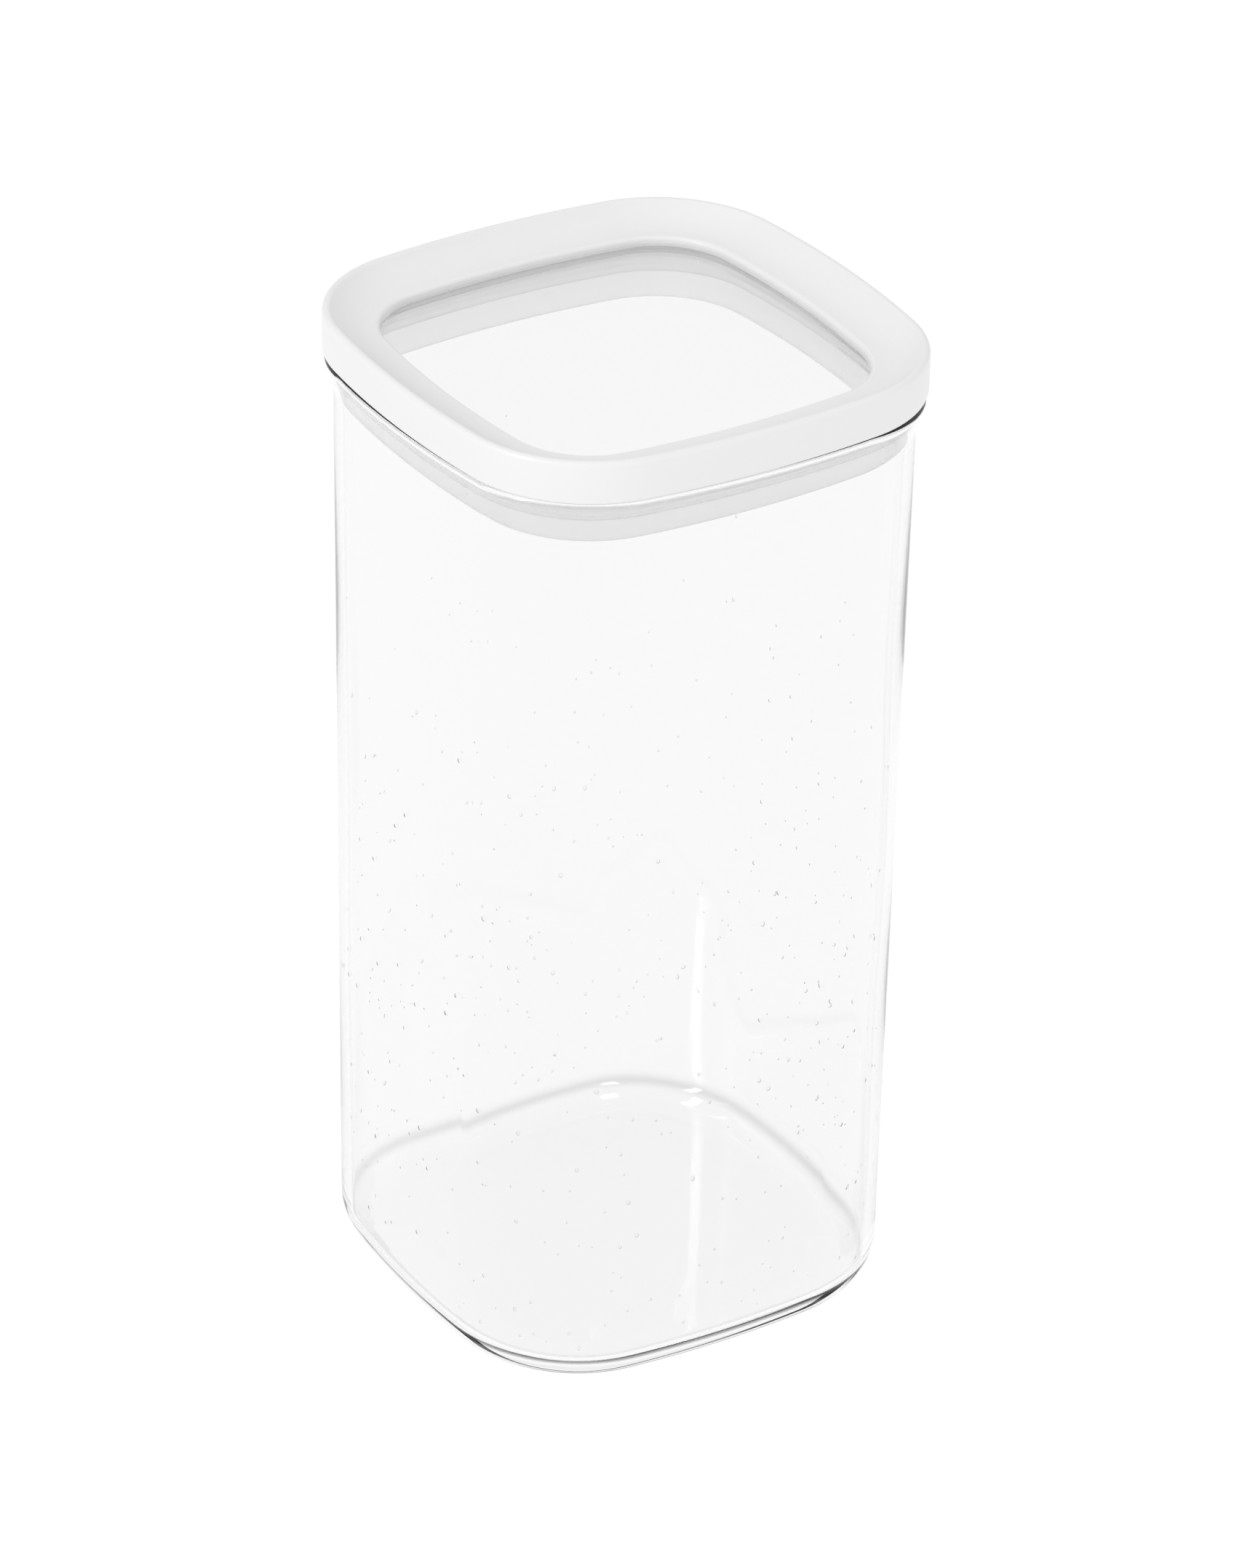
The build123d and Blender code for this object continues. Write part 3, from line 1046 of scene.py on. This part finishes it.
@dataclass
class Lid:
    """The lid: dished white frame, clear window, plug ring and silicone seal."""

    levels: Levels
    outline: Outline
    tool: ProfileSweep
    rim_wall: float = 2.2 * MM
    top_rounding: float = 1.1 * MM
    foot_rounding: float = 0.9 * MM
    dish_width: float = 12.0 * MM
    opening_rounding: float = 0.9 * MM
    opening_step: float = 1.3 * MM
    skin: float = 1.9 * MM
    pocket_land: float = 2.2 * MM
    pocket_wall: float = 1.2 * MM
    window_rim: float = 1.2 * MM
    snap: float = 0.1 * MM
    plug_outer: float = 5.8 * MM
    plug_wall: float = 2.0 * MM
    plug_plate: float = 1.3 * MM
    plug_ledge: float = 1.2 * MM
    ledge_grip: float = 0.9 * MM
    groove: float = 0.8 * MM
    flange: float = 0.4 * MM
    flange_setback: float = 2.0 * MM
    sleeve: float = 0.9 * MM
    fin_root: float = 0.9 * MM
    fin_inset: float = 4.85 * MM
    fins: int = 2

    def frame_profile(self) -> list[Point2]:
        """Closed section of the frame, 0 on the lid's outline."""
        dish_floor = self.levels.window_top + self.opening_step
        depth = self.levels.top - dish_floor
        dish_end = self.dish_width - self.opening_rounding
        span = dish_end - self.top_rounding
        radius = (span**2 + depth**2 - 2 * depth * self.top_rounding) / (2 * depth)
        middle = Vector((-dish_end, dish_floor + radius))
        crest = Vector((-self.top_rounding, self.levels.top - self.top_rounding))
        slope = math.degrees(math.atan2(*(crest - middle).yx))
        pocket = self.dish_width - self.pocket_land - self.snap
        web = pocket - self.pocket_wall
        under = radius + self.skin

        def below(inset: float) -> float:
            """Angle of the skin's underside at an inset."""
            return -math.degrees(math.acos((dish_end - inset) / under))

        land = self.levels.window_foot + self.window_rim
        line = arc(tuple(crest), self.top_rounding, 0.0, 180.0 + slope, 10)
        line += arc(tuple(middle), radius, slope, -90.0, 24)[1:]
        turn = (-dish_end, dish_floor - self.opening_rounding)
        line += arc(turn, self.opening_rounding, 90.0, 180.0, 8)[1:]
        line += [(-self.dish_width, land), (-pocket, land)]
        line += [(-pocket, self.levels.window_foot), (-web, self.levels.window_foot)]
        line += arc(tuple(middle), under, below(web), below(self.rim_wall), 12)
        foot = self.levels.rim_foot
        corner = (-self.foot_rounding, foot + self.foot_rounding)
        line += [(-self.rim_wall, foot)]
        line += arc(corner, self.foot_rounding, -90.0, 0.0, 8)
        return line

    def plug_profile(self) -> list[Point2]:
        """Closed section of the plug ring."""
        top = self.levels.rim_foot
        inner = self.plug_outer + self.plug_wall
        ledge = self.dish_width - self.pocket_land + self.ledge_grip
        corners = [
            (-self.rim_wall - self.snap, top, 0.0),
            (-self.rim_wall - self.snap, top + self.plug_plate, 0.2 * MM),
            (-inner + self.plug_wall / 2, top + self.plug_plate, 0.2 * MM),
            (-inner + self.plug_wall / 2, self.levels.window_foot, 0.0),
            (-ledge, self.levels.window_foot, 0.2 * MM),
            (-ledge, self.levels.window_foot - self.plug_ledge, 0.4 * MM),
            (-inner, self.levels.window_foot - self.plug_ledge, 0.4 * MM),
            (-inner, self.levels.plug_foot, 0.5 * MM),
            (-self.plug_outer, self.levels.plug_foot, 0.5 * MM),
            (-self.plug_outer, self.levels.seal_foot, 0.1 * MM),
            (-self.plug_outer - self.groove, self.levels.seal_foot, 0.0),
            (-self.plug_outer - self.groove, top, 0.0),
        ]
        return rounded(corners, closed=True, steps=5)

    def seal_profile(self) -> list[Point2]:
        """Closed section of the seal: sleeve, flange and fins."""
        top, foot = self.levels.rim_foot, self.levels.seal_foot
        back = self.plug_outer + self.groove
        sleeve = back - self.sleeve
        under = top - self.flange
        corners = [(-back, foot, 0.0), (-back, top, 0.0), (-self.flange_setback, top, 0.05 * MM)]
        corners += [(-self.flange_setback, under, 0.2 * MM), (-sleeve, under, 0.2 * MM)]
        pitch = (under - foot - self.fin_root) / self.fins
        for fin in range(self.fins):
            root = under - self.fin_root - fin * pitch - (pitch - self.fin_root) / 2
            third = self.fin_root / 3
            corners += [(-sleeve, root, 0.1 * MM), (-self.fin_inset, root - third, 0.12 * MM)]
            corners += [(-self.fin_inset, root - 2 * third, 0.12 * MM), (-sleeve, root - 3 * third, 0.1 * MM)]
        corners.append((-sleeve, foot, 0.2 * MM))
        return rounded(corners, closed=True, steps=4)

    def place(
        self, name: str, node: str, slot: Slot, profile: list[Point2], finish: bpy.types.Material
    ) -> bpy.types.Object:
        """Sweep one ring of the lid and put it in its CAD node's place.

        Args:
            name: The piece's name.
            node: The CAD node that it stands for.
            slot: The record's material slot; not used.
            profile: The closed section.
            finish: The material.

        Returns:
            The piece.
        """
        piece = sweep_ring(self.tool, name, self.outline, profile, finish)
        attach(piece, Body.LID.value)
        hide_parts(node)
        return piece

    def build(
        self,
        white: bpy.types.Material,
        pane: bpy.types.Material,
        plug: bpy.types.Material,
        rubber: bpy.types.Material,
    ) -> list[bpy.types.Object]:
        """Build the lid's rings and dress its window.

        Args:
            white: The frame's material.
            pane: The window's material.
            plug: The plug ring's material.
            rubber: The seal's material.

        Returns:
            The pieces made.
        """
        made = [
            self.place("rim_moulding", "lid_frame", Slot.FRAME, self.frame_profile(), white),
            self.place("plug_moulding", "plug_ring", Slot.PLUG, self.plug_profile(), plug),
            self.place("silicone_seal", "seal_ring", Slot.SEAL, self.seal_profile(), rubber),
        ]
        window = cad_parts["lid_window"]
        window.data.materials.clear()
        window.data.materials.append(pane)
        return made + [window]


# ---- Studio ----
@dataclass(frozen=True)
class SoftBox:
    """A rectangular lamp that points at the canister."""

    name: str
    place: tuple[float, float, float]
    width: float
    height: float
    watts: float
    in_reflections: bool = True

    def build(self, aim: Vector) -> None:
        """Add the lamp.

        Args:
            aim: The point that it faces.
        """
        data = bpy.data.lights.new(self.name, "AREA")
        data.shape = "RECTANGLE"
        data.size, data.size_y = self.width, self.height
        data.energy = self.watts
        lamp = bpy.data.objects.new(self.name, data)
        lamp.location = self.place
        lamp.rotation_mode = "QUATERNION"
        lamp.rotation_quaternion = (aim - Vector(self.place)).to_track_quat("-Z", "Y")
        lamp.visible_camera = False
        lamp.visible_glossy = self.in_reflections
        bpy.context.scene.collection.objects.link(lamp)


@dataclass
class Studio:
    """Pale floor, soft light and the camera."""

    aim: Vector
    lens: float = 161.7
    distance: float = 1.5036
    azimuth: float = -32.8
    elevation: float = 29.88
    roll: float = 1.21
    shift_right: float = 2.50 * MM
    shift_up: float = 4.35 * MM
    drop: float = 1.2 * MM
    floor_size: float = 12.0
    floor_glow: float = 0.985
    floor_shade: float = 0.05
    sky: float = 0.79
    lamps: list[SoftBox] = field(default_factory=list)

    def floor(self) -> None:
        """White floor that glows like a lit sweep."""
        half = self.floor_size / 2
        mesh = bpy.data.meshes.new("studio_floor")
        corners = [(-half, -half, 0), (half, -half, 0), (half, half, 0), (-half, half, 0)]
        mesh.from_pydata(corners, [], [(0, 1, 2, 3)])
        floor = new_object("studio_floor", mesh)
        material = bpy.data.materials.new("pale_floor")
        material.use_nodes = True
        graph = Graph(material.node_tree)
        matt = graph.node("ShaderNodeBsdfDiffuse", None, {"Color": grey(self.floor_shade)})
        light = graph.node("ShaderNodeEmission", None, {"Color": grey(self.floor_glow), "Strength": 1.0})
        both = graph.node("ShaderNodeAddShader", None, {0: matt.outputs[0], 1: light.outputs[0]})
        graph.node("ShaderNodeOutputMaterial", None, {"Surface": both.outputs[0]})
        mesh.materials.append(material)
        floor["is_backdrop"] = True

    def world(self) -> None:
        """Even grey surroundings."""
        world = bpy.data.worlds.new("studio")
        world.use_nodes = True
        graph = Graph(world.node_tree)
        sky = graph.node("ShaderNodeBackground", None, {"Color": grey(1.0), "Strength": self.sky})
        graph.node("ShaderNodeOutputWorld", None, {"Surface": sky.outputs[0]})
        bpy.context.scene.world = world

    def camera(self) -> None:
        """Camera with a long lens, tilted by a small roll."""
        azimuth, elevation, roll = (math.radians(a) for a in (self.azimuth, self.elevation, self.roll))
        level = Vector((math.cos(azimuth), math.sin(azimuth), 0.0))
        outwards = Vector((math.sin(azimuth), -math.cos(azimuth), 0.0))
        back = outwards * math.cos(elevation) + Vector((0.0, 0.0, math.sin(elevation)))
        upright = back.cross(level)
        right = level * math.cos(roll) + upright * math.sin(roll)
        up = upright * math.cos(roll) - level * math.sin(roll)
        target = self.aim + level * self.shift_right + upright * self.shift_up - Vector((0.0, 0.0, self.drop))
        data = bpy.data.cameras.new("camera")
        data.lens = self.lens
        data.clip_start, data.clip_end = 0.05, 50.0
        camera = bpy.data.objects.new("camera", data)
        camera.matrix_world = Matrix.LocRotScale(
            target + back * self.distance, Matrix((right, up, back)).transposed().to_quaternion(), None
        )
        bpy.context.scene.collection.objects.link(camera)
        bpy.context.scene.camera = camera

    def build(self) -> None:
        """Build floor, surroundings, lamps and camera."""
        bpy.context.scene.view_settings.view_transform = "Standard"
        self.floor()
        self.world()
        for lamp in self.lamps:
            lamp.build(self.aim)
        self.camera()


def main() -> None:
    """Build every sub-assembly, then the studio."""
    logging.basicConfig(level=logging.INFO, format="%(name)s: %(message)s")
    cad_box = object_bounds()
    levels = Levels.read()
    outline = Outline(levels.lid_half, LID_CORNER_RADIUS, SIDE_BULGE_RADIUS)
    lip = outline.inset(levels.lid_half - levels.lip_half)
    base = Outline(levels.lid_half - BASE_INSET, BASE_CORNER_RADIUS, SIDE_BULGE_RADIUS)

    glass = ClearFinish(
        name="jar_glass_clear",
        tint=0.955,
        ior=1.48,
        ripple_size=40 * MM,
        ripple_depth=0.003 * MM,
        upright_stretch=2.5,
        # Darkness of the painted shade line along the inner heel.
        heel_shade_depth=0.35,
        foot_tint=0.97,
        seed=1.0,
    )
    pane = PaneFinish(
        name="window_clear", tint=0.985, ior=1.49, roughness=0.04, ripple_size=35 * MM, ripple_depth=0.01 * MM
    )
    gas = BubbleFinish(name="seed_gas", relative_ior=0.85)
    white = MouldedFinish(
        name="frame_satin_white",
        shade=0.79,
        shade_spread=0.015,
        roughness=0.32,
        roughness_spread=0.10,
        grain_size=0.6 * MM,
        grain_depth=0.004 * MM,
        seed=1.0,
    )
    plug = MouldedFinish(
        name="plug_white",
        shade=0.70,
        shade_spread=0.01,
        roughness=0.30,
        roughness_spread=0.08,
        grain_size=0.9 * MM,
        grain_depth=0.003 * MM,
        cover=0.22,
        edge_cover=0.5,
        # Painted light: glow standing in for light that reaches the plug through the glass.
        painted_glow=0.12,
        seed=4.0,
    )
    rubber = MouldedFinish(
        name="seal_milky",
        shade=0.80,
        shade_spread=0.01,
        roughness=0.38,
        roughness_spread=0.10,
        grain_size=0.7 * MM,
        grain_depth=0.004 * MM,
        cover=0.30,
        edge_cover=0.4,
        # Painted light: glow standing in for light that reaches the seal through the glass.
        painted_glow=0.16,
        seed=6.0,
    )

    pieces = GlassJar(levels, lip, base).build(glass.build(), gas.build())
    tool = ProfileSweep("profile_sweep")
    pieces += Lid(levels, outline, tool).build(white.build(), pane.build(), plug.build(), rubber.build())
    for piece in pieces:
        log.info("%s: %d faces", piece.name, len(piece.data.polygons))

    low, high = cad_box
    aim = (low + high) / 2
    lamps = [
        SoftBox("key", (-1.42, -0.11, 1.04), 0.24, 0.95, 6.4),
        SoftBox("side", (-1.26, 0.67, 1.04), 0.10, 0.80, 0.9),
        SoftBox("fill", (-0.10, -1.50, 1.70), 0.50, 0.50, 7.0, False),
        SoftBox("front", (0.45, -2.1, 0.55), 1.0, 1.0, 0.9),
    ]
    Studio(aim, lamps=lamps).build()


if __name__ == "__main__":
    main()
